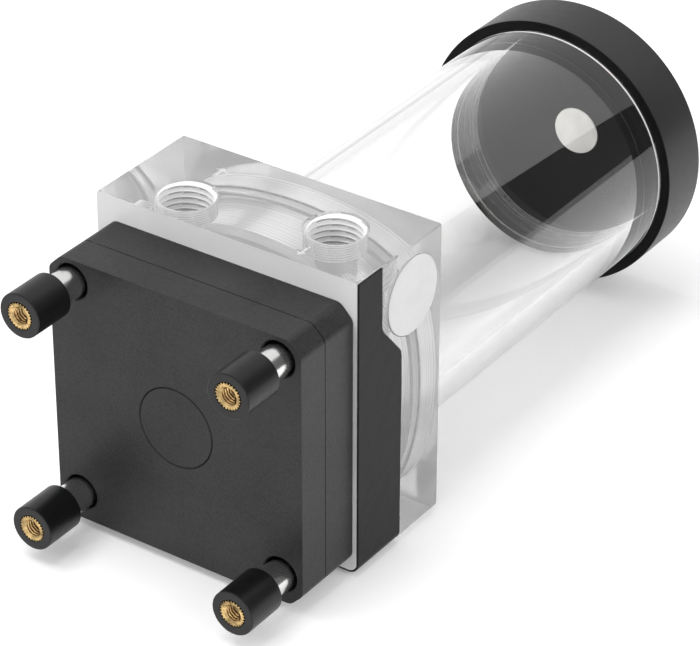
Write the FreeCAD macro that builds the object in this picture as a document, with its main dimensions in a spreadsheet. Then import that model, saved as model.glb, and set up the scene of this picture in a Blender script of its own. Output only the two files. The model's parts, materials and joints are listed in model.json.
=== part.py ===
import FreeCAD, Part
import math
import os
import re

import Sketcher

# Coolant pump with a tube reservoir, for a liquid cooling loop.
# It stands on four rubber feet. Above them are the black pump housing, a clear pump top block with two
# threaded ports, a clear tube and a black end cap with a fill plug.
# The origin is the middle of the four foot ends, on the common axis of pump and tube. +Z runs up the tube,
# the ports open towards -Y and the badge faces +X. All lengths are in millimetres.

SIZES = {
    # rubber feet, their brass inserts and bonded studs
    "foot_inset": 7.0,
    "damper_radius": 5.0,
    "damper_length": 10.0,
    "damper_edge": 0.5,
    "insert_radius": 3.0,
    "insert_length": 5.0,
    "insert_bore": 1.65,
    "insert_mouth": 2.1,
    "stud_radius": 1.95,
    "stud_head_radius": 3.4,
    "stud_head_height": 1.2,
    "stud_cover": 1.0,
    "stud_engagement": 5.0,
    # steel standoffs with a screw end that holds pump and block together
    "standoff_radius": 3.5,
    "standoff_exposed": 6.2,
    "standoff_edge": 0.4,
    "screw_engagement": 7.0,
    "screw_gap": 0.1,
    # pump shells
    "housing_side_setback": 1.4,
    "housing_front_setback": 5.5,
    "housing_back_setback": 1.4,
    "housing_chamfer": 3.1,
    "housing_blend": 2.4,
    "housing_wall": 2.2,
    "cover_depth": 8.1,
    "cover_floor": 2.0,
    "housing_depth": 9.5,
    "housing_deck": 2.2,
    "shell_edge": 0.5,
    "seam_chamfer": 0.25,
    "cover_hole": 4.0,
    "pillar_radius": 5.2,
    "mark_radius": 9.1,
    "mark_width": 0.45,
    "mark_depth": 0.3,
    # lead grommet in the housing wall
    "grommet_radius": 2.6,
    "grommet_flange": 3.3,
    "grommet_flange_thickness": 1.0,
    "grommet_bore": 1.4,
    "grommet_clearance": 0.2,
    # motor
    "stator_outer": 22.0,
    "stator_yoke": 3.0,
    "stator_height": 8.0,
    "stator_seat": 1.6,
    "tooth_width": 4.0,
    "tooth_count": 6,
    "pole_radius": 14.1,
    "shoe_depth": 1.3,
    "shoe_width": 8.4,
    "bobbin_wall": 0.4,
    "bobbin_length": 3.3,
    "coil_thickness": 1.0,
    "board_clearance": 0.8,
    "board_chamfer": 13.8,
    "board_thickness": 1.0,
    "component_gap": 4.0,
    "capacitor_radius": 2.4,
    "capacitor_height": 5.5,
    "chip_side": 4.5,
    "chip_height": 1.2,
    "choke_side": 4.0,
    "choke_height": 2.4,
    "sensor_length": 3.0,
    "sensor_width": 2.0,
    "sensor_height": 1.0,
    # separating can, shaft and thrust washer
    "can_flange_radius": 26.0,
    "can_flange": 1.0,
    "can_radius": 13.0,
    "can_wall": 0.8,
    "can_board_gap": 0.6,
    "can_boss_radius": 3.4,
    "can_boss_height": 2.4,
    "shaft_radius": 1.5,
    "shaft_socket": 2.0,
    "shaft_length": 16.5,
    "washer_radius": 3.2,
    "washer_thickness": 0.8,
    # rotor
    "bearing_gap": 0.03,
    "bush_wall": 1.5,
    "bush_length": 12.5,
    "stem_wall": 2.2,
    "magnet_radius": 11.9,
    "magnet_height": 8.6,
    "magnet_lift": 0.5,
    "sleeve_wall": 0.3,
    "impeller_radius": 17.5,
    "impeller_plate": 1.0,
    "impeller_lift": 0.5,
    "vane_inner": 6.6,
    "vane_height": 3.8,
    "vane_thickness": 1.1,
    "vane_curve": 13.0,
    "vane_count": 6,
    "nose_height": 2.6,
    # clear block on the pump
    "block_side_wall": 2.5,
    "block_front_wall": 6.2,
    "block_back_wall": 3.3,
    "block_thickness": 29.2,
    "block_corner": 0.6,
    "block_bend": 2.5,
    "volute_radius": 19.5,
    "volute_depth": 6.2,
    "volute_roof": 3.5,
    "eye_radius": 7.0,
    "pump_groove_radius": 22.3,
    "pump_groove_width": 2.4,
    "pump_groove_depth": 1.6,
    "well_inset": 1.0,
    "port_radius": 5.72,
    "port_mouth": 6.8,
    "port_mouth_depth": 1.0,
    "port_depth": 10.5,
    "out_port_x": 16.4,
    "out_port_height": 8.8,
    "out_passage_radius": 2.8,
    "out_passage_height": 5.9,
    "in_port_x": 16.3,
    "in_port_height": 15.2,
    "in_passage_radius": 4.5,
    # tube and its seats
    "tube_radius": 30.0,
    "tube_wall": 5.0,
    "tube_exposed": 94.5,
    "tube_edge": 0.3,
    "tube_bevel": 1.2,
    "seat_depth": 5.4,
    "seat_groove_inset": 3.7,
    "seat_groove_width": 2.6,
    "seat_groove_depth": 1.9,
    "slide_gap": 0.1,
    "seal_gap": 0.03,
    # sheet cover and badge on the block
    "sheet_thickness": 0.5,
    "sheet_height": 15.3,
    "sheet_neck": 8.2,
    "notch_start": 14.8,
    "notch_end": 23.0,
    "notch_blend": 3.0,
    "badge_radius": 8.75,
    "badge_from_front": 11.7,
    "badge_height": 18.9,
    "badge_pocket": 1.2,
    "badge_proud": 0.15,
    # end cap and fill plug
    "cap_wall": 2.5,
    "cap_height": 13.7,
    "cap_lap": 6.3,
    "cap_roof": 3.9,
    "cap_edge": 0.5,
    "cap_recess_inset": 3.0,
    "cap_groove_start": 2.8,
    "cap_groove_width": 2.7,
    "cap_groove_depth": 1.35,
    "plug_gap": 0.07,
    "plug_edge": 0.1,
    "plug_head_radius": 8.9,
    "plug_head_height": 2.6,
    "plug_hex": 3.0,
    "plug_hex_depth": 3.6,
    "plug_seal_inner": 6.8,
    "plug_seal_outer": 8.2,
    "plug_seal_height": 1.2,
    # small gap between a piece and the pocket that holds it
    "fit_gap": 0.05,
}

# Levels and radii that follow from the sizes above.
DERIVED = {
    "cover_z": "damper_length + standoff_exposed",
    "seam_z": "cover_z + cover_depth",
    "block_z": "seam_z + housing_depth",
    "top_z": "block_z + block_thickness",
    "seat_z": "top_z - seat_depth",
    "cap_z": "top_z + tube_exposed",
    "tube_length": "seat_depth + tube_exposed + cap_lap",
    "tube_inner": "tube_radius - tube_wall",
    "socket_radius": "tube_radius + slide_gap",
    "can_depth": "housing_depth + cover_depth - cover_floor - board_thickness - can_board_gap - can_wall",
    "can_inner_z": "block_z - can_depth",
    "washer_z": "can_inner_z + can_boss_height",
    "rotor_z": "washer_z + washer_thickness + bearing_gap",
    "bush_inner": "shaft_radius + bearing_gap",
    "bush_outer": "bush_inner + bush_wall",
    "stem_outer": "bush_outer + fit_gap + stem_wall",
    "plate_z": "block_z + impeller_lift - rotor_z",
    "stator_z": "block_z - housing_deck - stator_seat - stator_height",
    "board_z": "cover_z + cover_floor",
    "grommet_height": "housing_depth - housing_deck - grommet_flange - grommet_clearance",
    "cap_floor": "cap_height - cap_roof",
    "block_half_width": "socket_radius + block_side_wall",
    "block_front": "socket_radius + block_front_wall",
    "block_back": "socket_radius + block_back_wall",
    "housing_half_width": "block_half_width - housing_side_setback",
    "housing_front": "block_front - housing_front_setback",
    "housing_back": "block_back - housing_back_setback",
    "board_half_width": "housing_half_width - housing_wall - board_clearance",
    "component_radius": "stator_outer + component_gap",
    "well_radius": "tube_inner - well_inset",
    "seat_groove_radius": "tube_radius - seat_groove_inset",
    "cap_radius": "tube_radius + cap_wall",
    "cap_recess_radius": "tube_radius - cap_recess_inset",
    "foot_half": "block_half_width - foot_inset",
    "screw_length": "housing_depth + screw_engagement",
}

CORNERS = [("front_left", -1, -1), ("front_right", 1, -1), ("back_left", -1, 1), ("back_right", 1, 1)]

doc = FreeCAD.newDocument("pump_reservoir")
sheet = doc.addObject("Spreadsheet::Sheet", "Sizes")
for row, (alias, number) in enumerate(SIZES.items(), start=1):
    sheet.set("A%d" % row, alias)
    sheet.set("B%d" % row, str(number))
    sheet.setAlias("B%d" % row, alias)
doc.recompute()


def expand(text):
    """Turns size names in a text into an expression on the spreadsheet."""
    def word(match):
        name = match.group(0)
        if name in SIZES:
            return "Sizes." + name
        if name in DERIVED:
            return "(" + expand(DERIVED[name]) + ")"
        return name
    return re.sub(r"[a-z_]+", word, str(text))


def value(text):
    """The number that a text of size names gives."""
    result = sheet.evalExpression(expand(text))
    return float(getattr(result, "Value", result))


def bind(item, name, text):
    """Ties one property to the spreadsheet."""
    item.setExpression(name, expand(text))


def place(item, x="0", y="0", z="0"):
    """Puts an object at a point given by size names."""
    for axis, text in (("x", x), ("y", y), ("z", z)):
        if text != "0":
            bind(item, "Placement.Base." + axis, text)


# Bodies, sketches and features

def new_body(label, x="0", y="0", z="0"):
    body = doc.addObject("PartDesign::Body", label)
    body.Label = label
    body.AllowCompound = True
    place(body, x, y, z)
    return body


def origin_item(body, role):
    return next(item for item in body.Origin.OriginFeatures if item.Role == role)


def new_sketch(body, name, role="XY_Plane", height=None):
    """A sketch on one of the body's own planes, at a height along its normal."""
    sketch = body.newObject("Sketcher::SketchObject", name)
    sketch.AttachmentSupport = [(origin_item(body, role), "")]
    sketch.MapMode = "FlatFace"
    if height is not None:
        bind(sketch, "AttachmentOffset.Base.z", height)
    return sketch


def locate(sketch, geometry, point, x, y):
    """Fixes one sketch point at a place given by size names."""
    for kind, axis, text in (("DistanceX", -2, x), ("DistanceY", -1, y)):
        amount = value(text)
        if abs(amount) < 1e-9:
            sketch.addConstraint(Sketcher.Constraint("PointOnObject", geometry, point, axis))
            continue
        index = sketch.addConstraint(Sketcher.Constraint(kind, -1, 1, geometry, point, amount))
        bind(sketch, "Constraints[%d]" % index, text)


def polygon(sketch, corners):
    """A closed outline with straight sides through the corners."""
    points = [FreeCAD.Vector(value(x), value(y), 0) for x, y in corners]
    first = sketch.GeometryCount
    count = len(points)
    for index in range(count):
        sketch.addGeometry(Part.LineSegment(points[index], points[(index + 1) % count]), False)
    for index in range(count):
        joint = Sketcher.Constraint("Coincident", first + index, 2, first + (index + 1) % count, 1)
        sketch.addConstraint(joint)
    for index, (x, y) in enumerate(corners):
        locate(sketch, first + index, 1, x, y)


def circle(sketch, radius, x="0", y="0", construction=False):
    centre = FreeCAD.Vector(value(x), value(y), 0)
    geometry = sketch.addGeometry(Part.Circle(centre, FreeCAD.Vector(0, 0, 1), value(radius)), construction)
    if x == "0" and y == "0":
        sketch.addConstraint(Sketcher.Constraint("Coincident", geometry, 3, -1, 1))
    else:
        locate(sketch, geometry, 3, x, y)
    index = sketch.addConstraint(Sketcher.Constraint("Radius", geometry, value(radius)))
    bind(sketch, "Constraints[%d]" % index, radius)
    return geometry


def rectangle(sketch, x0, y0, x1, y1):
    polygon(sketch, [(x0, y0), (x1, y0), (x1, y1), (x0, y1)])


def pad(body, sketch, length, downward=False):
    feature = body.newObject("PartDesign::Pad", sketch.Name + "_pad")
    feature.Profile = sketch
    bind(feature, "Length", length)
    feature.Reversed = downward
    doc.recompute()
    return feature


def pocket(body, sketch, depth, upward=False):
    """Cuts a sketch into the body, against its normal unless upward."""
    before = body.Shape.Volume
    feature = body.newObject("PartDesign::Pocket", sketch.Name + "_pocket")
    feature.Profile = sketch
    bind(feature, "Length", depth)
    feature.Reversed = upward
    doc.recompute()
    if not body.Shape.Volume < before:
        raise RuntimeError(sketch.Name + " cuts nothing")
    return feature


def turned(body, name, outline, cut=False):
    """Turns an outline of radius and height pairs about the body's Z axis."""
    before = body.Shape.Volume if cut else 0.0
    sketch = new_sketch(body, name, "XZ_Plane")
    polygon(sketch, outline)
    kind = "PartDesign::Groove" if cut else "PartDesign::Revolution"
    feature = body.newObject(kind, name + "_turn")
    feature.Profile = sketch
    feature.ReferenceAxis = (sketch, ["V_Axis"])
    feature.Angle = 360
    doc.recompute()
    if cut and not body.Shape.Volume < before:
        raise RuntimeError(name + " cuts nothing")
    return feature


def spread(body, feature, count):
    """Repeats a feature round the body's Z axis."""
    pattern = body.newObject("PartDesign::PolarPattern", feature.Name + "_round")
    pattern.Originals = [feature]
    pattern.Axis = (origin_item(body, "Z_Axis"), [""])
    pattern.Angle = 360
    bind(pattern, "Occurrences", count)
    body.Tip = pattern
    doc.recompute()
    return pattern


def soften(body, kind, name, amount, test):
    """A fillet or chamfer on the edges that pass a test."""
    base = body.Tip
    feature = body.newObject("PartDesign::" + kind, name)
    placed = body.Placement
    body_edges = [edge for edge in base.Shape.Edges]
    names = ["Edge%d" % (index + 1) for index, edge in enumerate(body_edges) if test(edge)]
    if not names:
        raise RuntimeError(name + " finds no edge on " + body.Label + str(placed.Base))
    feature.Base = (base, names)
    bind(feature, "Radius" if kind == "Fillet" else "Size", amount)
    doc.recompute()
    return feature


def is_upright(edge):
    box = edge.BoundBox
    return box.ZLength > 1e-6 and box.XLength < 1e-6 and box.YLength < 1e-6


def is_level(edge, height):
    box = edge.BoundBox
    return abs(box.ZMin - height) < 1e-6 and abs(box.ZMax - height) < 1e-6


def stands_at(edge, x, y):
    """True for an upright edge through a point of the body's XY plane."""
    box = edge.BoundBox
    return is_upright(edge) and abs(box.XMin - x) < 1e-4 and abs(box.YMin - y) < 1e-4


# Part primitives for small repeated hardware

def primitive(kind, name, x="0", y="0", z="0", **sizes):
    item = doc.addObject("Part::" + kind, name)
    for prop, text in sizes.items():
        bind(item, prop, text)
    place(item, x, y, z)
    return item


def joined(kind, name, base, tool):
    item = doc.addObject("Part::" + kind, name)
    item.Base = base
    item.Tool = tool
    return item


def group(label, pieces):
    item = doc.addObject("Part::Compound", label)
    item.Label = label
    item.Links = pieces
    return item


NODES = []


def keep(item):
    """Lists a finished sub-part for checking and writing."""
    NODES.append(item)
    return item


def corner_place(sign_x, sign_y):
    return "%d * foot_half" % sign_x, "%d * foot_half" % sign_y


# Rubber feet with brass inserts below and bonded steel studs above

def dampers():
    head_low = "damper_length - stud_cover - stud_head_height"
    for name, sign_x, sign_y in CORNERS:
        x, y = corner_place(sign_x, sign_y)
        body = new_body("damper_" + name, x, y)
        turned(body, "damper_section", [
            ("insert_radius + fit_gap", "0"),
            ("damper_radius - damper_edge", "0"),
            ("damper_radius", "damper_edge"),
            ("damper_radius", "damper_length - damper_edge"),
            ("damper_radius - damper_edge", "damper_length"),
            ("stud_radius + fit_gap", "damper_length"),
            ("stud_radius + fit_gap", "damper_length - stud_cover"),
            ("stud_head_radius", "damper_length - stud_cover"),
            ("stud_head_radius", head_low),
            ("0", head_low),
            ("0", "insert_length"),
            ("insert_radius + fit_gap", "insert_length")])
        keep(body)


def damper_inserts():
    pieces = []
    for name, sign_x, sign_y in CORNERS:
        x, y = corner_place(sign_x, sign_y)
        outside = primitive("Cylinder", "insert_outside_" + name, x, y,
                            Radius="insert_radius", Height="insert_length")
        bore = primitive("Cylinder", "insert_bore_" + name, x, y,
                         Radius="insert_bore", Height="insert_length")
        mouth = primitive("Cone", "insert_mouth_" + name, x, y, Radius1="insert_mouth",
                          Radius2="insert_bore", Height="insert_mouth - insert_bore")
        hole = joined("Fuse", "insert_hole_" + name, bore, mouth)
        pieces.append(joined("Cut", "insert_" + name, outside, hole))
    keep(group("damper_inserts", pieces))


def damper_studs():
    pieces = []
    head_low = "damper_length - stud_cover - stud_head_height"
    for name, sign_x, sign_y in CORNERS:
        x, y = corner_place(sign_x, sign_y)
        head = primitive("Cylinder", "stud_head_" + name, x, y, head_low,
                         Radius="stud_head_radius - fit_gap", Height="stud_head_height")
        shank = primitive("Cylinder", "stud_shank_" + name, x, y, head_low, Radius="stud_radius",
                          Height="stud_head_height + stud_cover + stud_engagement")
        pieces.append(joined("Fuse", "stud_" + name, head, shank))
    keep(group("damper_studs", pieces))


def standoffs():
    """Round steel spacers: a tapped hole below for the foot, a screw end above into the block."""
    rod = "cover_depth + standoff_exposed"
    for name, sign_x, sign_y in CORNERS:
        x, y = corner_place(sign_x, sign_y)
        body = new_body("standoff_" + name, x, y, "damper_length")
        turned(body, "standoff_section", [
            ("stud_radius + fit_gap", "0"),
            ("standoff_radius - standoff_edge", "0"),
            ("standoff_radius", "standoff_edge"),
            ("standoff_radius", rod + " - standoff_edge"),
            ("standoff_radius - standoff_edge", rod),
            ("stud_radius", rod),
            ("stud_radius", rod + " + screw_length - standoff_edge"),
            ("stud_radius - standoff_edge", rod + " + screw_length"),
            ("0", rod + " + screw_length"),
            ("0", "stud_engagement + fit_gap"),
            ("stud_radius + fit_gap", "stud_engagement + fit_gap")])
        keep(body)


# Pump shells

def shell_outline(inset="0"):
    """The square outline with cut corners, moved inwards by an even distance."""
    right = "(housing_half_width - %s)" % inset
    front = "(housing_front - %s)" % inset
    back = "(housing_back - %s)" % inset
    cut = "(housing_chamfer - %.6f * %s)" % (2 - math.sqrt(2), inset)
    return [
        ("-%s + %s" % (right, cut), "-" + front),
        ("%s - %s" % (right, cut), "-" + front),
        (right, "-%s + %s" % (front, cut)),
        (right, "%s - %s" % (back, cut)),
        ("%s - %s" % (right, cut), back),
        ("-%s + %s" % (right, cut), back),
        ("-" + right, "%s - %s" % (back, cut)),
        ("-" + right, "-%s + %s" % (front, cut))]


def corner_circles(sketch, radius):
    for _, sign_x, sign_y in CORNERS:
        x, y = corner_place(sign_x, sign_y)
        circle(sketch, radius, x, y)


def pump_bottom_cover():
    body = new_body("pump_bottom_cover", z="cover_z")
    outline = new_sketch(body, "cover_outline")
    polygon(outline, shell_outline())
    pad(body, outline, "cover_depth")
    soften(body, "Fillet", "cover_corners", "housing_blend", is_upright)
    soften(body, "Fillet", "cover_rim", "shell_edge", lambda edge: is_level(edge, 0.0))
    seam = value("cover_depth")
    soften(body, "Chamfer", "cover_seam", "seam_chamfer", lambda edge: is_level(edge, seam))
    cavity = new_sketch(body, "cover_cavity", height="cover_floor")
    polygon(cavity, shell_outline("housing_wall"))
    pocket(body, cavity, "cover_depth - cover_floor", upward=True)
    collars = new_sketch(body, "cover_collars", height="cover_floor")
    corner_circles(collars, "pillar_radius")
    pad(body, collars, "cover_depth - cover_floor")
    holes = new_sketch(body, "cover_holes")
    corner_circles(holes, "cover_hole")
    pocket(body, holes, "cover_depth", upward=True)
    mark = new_sketch(body, "cover_mark")
    circle(mark, "mark_radius + mark_width / 2")
    circle(mark, "mark_radius - mark_width / 2")
    pocket(body, mark, "mark_depth", upward=True)
    keep(body)


def pump_housing():
    body = new_body("pump_housing", z="seam_z")
    outline = new_sketch(body, "housing_outline")
    polygon(outline, shell_outline())
    pad(body, outline, "housing_depth")
    soften(body, "Fillet", "housing_corners", "housing_blend", is_upright)
    soften(body, "Chamfer", "housing_seam", "seam_chamfer", lambda edge: is_level(edge, 0.0))
    cavity = new_sketch(body, "housing_cavity")
    polygon(cavity, shell_outline("housing_wall"))
    pocket(body, cavity, "housing_depth - housing_deck", upward=True)
    pillars = new_sketch(body, "housing_pillars")
    corner_circles(pillars, "pillar_radius")
    pad(body, pillars, "housing_depth - housing_deck / 2")
    seat = new_sketch(body, "stator_collar", height="housing_depth - housing_deck")
    circle(seat, "stator_outer")
    circle(seat, "stator_outer - stator_yoke * 0.6")
    pad(body, seat, "stator_seat", downward=True)
    recess = new_sketch(body, "flange_recess", height="housing_depth")
    circle(recess, "can_flange_radius + fit_gap")
    pocket(body, recess, "can_flange")
    opening = new_sketch(body, "can_opening", height="housing_depth")
    circle(opening, "can_radius + can_wall + slide_gap")
    pocket(body, opening, "housing_deck")
    screws = new_sketch(body, "housing_screw_holes")
    corner_circles(screws, "stud_radius + screw_gap")
    pocket(body, screws, "housing_depth", upward=True)
    outlet = new_sketch(body, "lead_outlet", "YZ_Plane", height="-housing_half_width")
    circle(outlet, "grommet_radius + fit_gap", "0", "grommet_height")
    pocket(body, outlet, "housing_wall", upward=True)
    keep(body)


def cable_grommet():
    """A rubber grommet whose neck sits in the housing wall, with a flange on each side."""
    body = new_body("cable_grommet", "-housing_half_width", "0", "seam_z + grommet_height")
    body.Placement = FreeCAD.Placement(body.Placement.Base, FreeCAD.Rotation(FreeCAD.Vector(0, 1, 0), -90))
    turned(body, "grommet_section", [
        ("grommet_bore", "grommet_flange_thickness"),
        ("grommet_bore", "-housing_wall - grommet_flange_thickness"),
        ("grommet_radius + 0.4", "-housing_wall - grommet_flange_thickness"),
        ("grommet_flange", "-housing_wall - grommet_flange_thickness / 2"),
        ("grommet_flange", "-housing_wall"),
        ("grommet_radius", "-housing_wall"),
        ("grommet_radius", "0"),
        ("grommet_flange", "0"),
        ("grommet_flange", "grommet_flange_thickness / 2"),
        ("grommet_radius + 0.4", "grommet_flange_thickness")])
    keep(body)


# Motor

def stator_core():
    body = new_body("stator_core", z="stator_z")
    ring = new_sketch(body, "yoke_ring")
    circle(ring, "stator_outer")
    circle(ring, "stator_outer - stator_yoke")
    pad(body, ring, "stator_height")
    tooth = new_sketch(body, "tooth_outline")
    inside = "pole_radius * 0.9"
    shoe = "pole_radius + shoe_depth"
    root = "stator_outer - stator_yoke / 2"
    polygon(tooth, [
        (inside, "-shoe_width / 2"), (shoe, "-shoe_width / 2"), (shoe, "-tooth_width / 2"),
        (root, "-tooth_width / 2"), (root, "tooth_width / 2"), (shoe, "tooth_width / 2"),
        (shoe, "shoe_width / 2"), (inside, "shoe_width / 2")])
    first = pad(body, tooth, "stator_height")
    spread(body, first, "tooth_count")
    bore = new_sketch(body, "pole_bore")
    circle(bore, "pole_radius")
    pocket(body, bore, "stator_height", upward=True)
    keep(body)


def sleeve_round_tooth(label, inner, wall, length, start):
    """A rectangular sleeve round one stator tooth, repeated for all teeth."""
    body = new_body(label, z="stator_z + stator_height / 2")
    section = new_sketch(body, label + "_section", "YZ_Plane", height=start)
    for grow in (inner, "%s + %s" % (inner, wall)):
        across = "(tooth_width / 2 + %s)" % grow
        tall = "(stator_height / 2 + %s)" % grow
        rectangle(section, "-" + across, "-" + tall, across, tall)
    first = pad(body, section, length)
    spread(body, first, "tooth_count")
    keep(body)


def control_board():
    body = new_body("control_board", z="board_z")
    outline = new_sketch(body, "board_outline")
    half = "board_half_width"
    near = "(board_half_width - board_chamfer)"
    polygon(outline, [
        ("-" + near, "-" + half), (near, "-" + half), (half, "-" + near), (half, near),
        (near, half), ("-" + near, half), ("-" + half, near), ("-" + half, "-" + near)])
    pad(body, outline, "board_thickness")
    keep(body)


def board_components():
    """A capacitor, a driver chip, a coil and a sensor on the board, outside the stator."""
    diagonal = "component_radius * %.6f" % math.sqrt(0.5)
    top = "board_z + board_thickness"
    opposite = "-(" + diagonal + ")"
    capacitor = primitive("Cylinder", "capacitor", diagonal, diagonal, top,
                          Radius="capacitor_radius", Height="capacitor_height")
    driver = primitive("Box", "driver_chip", diagonal + " - chip_side / 2", opposite + " - chip_side / 2", top,
                       Length="chip_side", Width="chip_side", Height="chip_height")
    choke = primitive("Box", "choke", opposite + " - choke_side / 2", diagonal + " - choke_side / 2", top,
                      Length="choke_side", Width="choke_side", Height="choke_height")
    sensor = primitive("Box", "hall_sensor", opposite + " - sensor_length / 2",
                       opposite + " - sensor_width / 2", top,
                       Length="sensor_length", Width="sensor_width", Height="sensor_height")
    keep(group("board_components", [capacitor, driver, choke, sensor]))


def rotor_can():
    """The thin can that keeps the coolant away from the stator."""
    body = new_body("rotor_can", z="can_inner_z")
    top = "can_depth"
    turned(body, "can_section", [
        ("0", "-can_wall"),
        ("can_radius + can_wall", "-can_wall"),
        ("can_radius + can_wall", top + " - can_flange"),
        ("can_flange_radius", top + " - can_flange"),
        ("can_flange_radius", top),
        ("can_radius", top),
        ("can_radius", "0"),
        ("can_boss_radius", "0"),
        ("can_boss_radius", "can_boss_height"),
        ("shaft_radius + fit_gap / 2", "can_boss_height"),
        ("shaft_radius + fit_gap / 2", "can_boss_height - shaft_socket"),
        ("0", "can_boss_height - shaft_socket")])
    keep(body)


def shaft_and_washer():
    shaft = new_body("rotor_shaft", z="washer_z - shaft_socket")
    turned(shaft, "shaft_section", [
        ("0", "0"), ("shaft_radius", "0"), ("shaft_radius", "shaft_length - 0.3"),
        ("shaft_radius - 0.3", "shaft_length"), ("0", "shaft_length")])
    keep(shaft)
    washer = new_body("thrust_washer", z="washer_z")
    turned(washer, "washer_section", [
        ("shaft_radius + fit_gap", "0"), ("washer_radius", "0"), ("washer_radius", "washer_thickness"),
        ("shaft_radius + fit_gap", "washer_thickness")])
    keep(washer)


# Rotor

def rotor_rings():
    bush = new_body("bearing_bush", z="rotor_z")
    turned(bush, "bush_section", [
        ("bush_inner", "0"), ("bush_outer", "0"), ("bush_outer", "bush_length"),
        ("bush_inner", "bush_length")])
    keep(bush)
    magnet = new_body("rotor_magnet", z="rotor_z + magnet_lift")
    turned(magnet, "magnet_section", [
        ("stem_outer + fit_gap", "0"), ("magnet_radius", "0"), ("magnet_radius", "magnet_height"),
        ("stem_outer + fit_gap", "magnet_height")])
    keep(magnet)
    sleeve = new_body("magnet_sleeve", z="rotor_z + magnet_lift")
    inner = "magnet_radius + fit_gap / 2"
    outer = inner + " + sleeve_wall"
    turned(sleeve, "sleeve_section", [
        (inner, "0"), (outer, "0"), (outer, "magnet_height"), (inner, "magnet_height")])
    keep(sleeve)


def vane_outline(sketch):
    """One backward-curved vane between two arcs about a common centre."""
    inner = value("vane_inner")
    outer = value("impeller_radius")
    radius = value("vane_curve")
    # the arcs' centre lies where the vane leaves the inner circle at right angles to its radius
    centre = FreeCAD.Vector(inner, -radius, 0)
    guide_in = circle(sketch, "vane_inner", construction=True)
    guide_out = circle(sketch, "impeller_radius", construction=True)
    arcs = []
    for bend in ("vane_curve", "vane_curve + vane_thickness"):
        start = crossing(centre, value(bend), inner)
        end = crossing(centre, value(bend), outer)
        angle_start = math.atan2(start.y - centre.y, start.x - centre.x)
        angle_end = math.atan2(end.y - centre.y, end.x - centre.x)
        base = Part.Circle(centre, FreeCAD.Vector(0, 0, 1), value(bend))
        arc = sketch.addGeometry(Part.ArcOfCircle(base, angle_end, angle_start), False)
        locate(sketch, arc, 3, "vane_inner", "-vane_curve")
        index = sketch.addConstraint(Sketcher.Constraint("Radius", arc, value(bend)))
        bind(sketch, "Constraints[%d]" % index, bend)
        sketch.addConstraint(Sketcher.Constraint("PointOnObject", arc, 2, guide_in))
        sketch.addConstraint(Sketcher.Constraint("PointOnObject", arc, 1, guide_out))
        arcs.append((arc, start, end))
    for point, end in ((1, 2), (2, 1)):
        line = sketch.addGeometry(Part.LineSegment(arcs[0][end], arcs[1][end]), False)
        sketch.addConstraint(Sketcher.Constraint("Coincident", line, 1, arcs[0][0], point))
        sketch.addConstraint(Sketcher.Constraint("Coincident", line, 2, arcs[1][0], point))


def crossing(centre, radius, reach):
    """The point on a circle about centre that lies at a distance from the axis, on the right of it."""
    away = centre.Length
    along = (reach ** 2 - radius ** 2 + away ** 2) / (2 * away)
    side = math.sqrt(max(reach ** 2 - along ** 2, 0.0))
    unit = centre / away
    normal = FreeCAD.Vector(-unit.y, unit.x, 0)
    return unit * along + normal * side


def impeller():
    """A semi-open impeller on a stem that carries the magnet."""
    body = new_body("impeller", z="rotor_z")
    bore = "bush_outer + fit_gap"
    plate_top = "plate_z + impeller_plate"
    turned(body, "impeller_section", [
        (bore, "0"),
        ("stem_outer", "0"),
        ("stem_outer", "plate_z"),
        ("impeller_radius", "plate_z"),
        ("impeller_radius", plate_top),
        ("stem_outer", plate_top),
        ("bush_outer + stem_wall / 2", plate_top + " + nose_height"),
        (bore, plate_top + " + nose_height")])
    outline = new_sketch(body, "vane", height=plate_top + " - fit_gap")
    vane_outline(outline)
    first = pad(body, outline, "vane_height + fit_gap")
    spread(body, first, "vane_count")
    keep(body)


# Seals

def seal_ring(label, z, inner, outer, height):
    """A squeezed O-ring: a ring whose section has cut corners."""
    body = new_body(label, z=z)
    cut = "(%s - (%s)) / 4" % (outer, inner)
    turned(body, label + "_section", [
        ("%s + %s" % (inner, cut), "0"),
        ("%s - %s" % (outer, cut), "0"),
        (outer, cut),
        (outer, "%s - %s" % (height, cut)),
        ("%s - %s" % (outer, cut), height),
        ("%s + %s" % (inner, cut), height),
        (inner, "%s - %s" % (height, cut)),
        (inner, cut)])
    keep(body)


def seals():
    seal_ring("pump_seal", "block_z", "pump_groove_radius + fit_gap",
              "pump_groove_radius + pump_groove_width - fit_gap", "pump_groove_depth - fit_gap")
    seal_ring("tube_seal", "seat_z - seat_groove_depth", "seat_groove_radius + fit_gap",
              "seat_groove_radius + seat_groove_width - fit_gap", "seat_groove_depth - fit_gap")
    seal_ring("cap_seal", "cap_z + cap_groove_start + fit_gap", "tube_radius + seal_gap",
              "socket_radius + cap_groove_depth - seal_gap", "cap_groove_width - 2 * fit_gap")
    seal_ring("fill_plug_seal", "cap_z + cap_height", "plug_seal_inner", "plug_seal_outer",
              "plug_seal_height")


# Clear block

def block_notch(sketch, grow):
    """The part of the +X side above the cover's neck, seen along X: Y across and Z up."""
    polygon(sketch, [
        ("-block_front - 1", "sheet_neck" + grow),
        ("-block_front + notch_start", "sheet_neck" + grow),
        ("-block_front + notch_end", "sheet_height" + grow),
        ("-block_front + notch_end", "sheet_height + 1"),
        ("-block_front - 1", "sheet_height + 1")])


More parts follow.
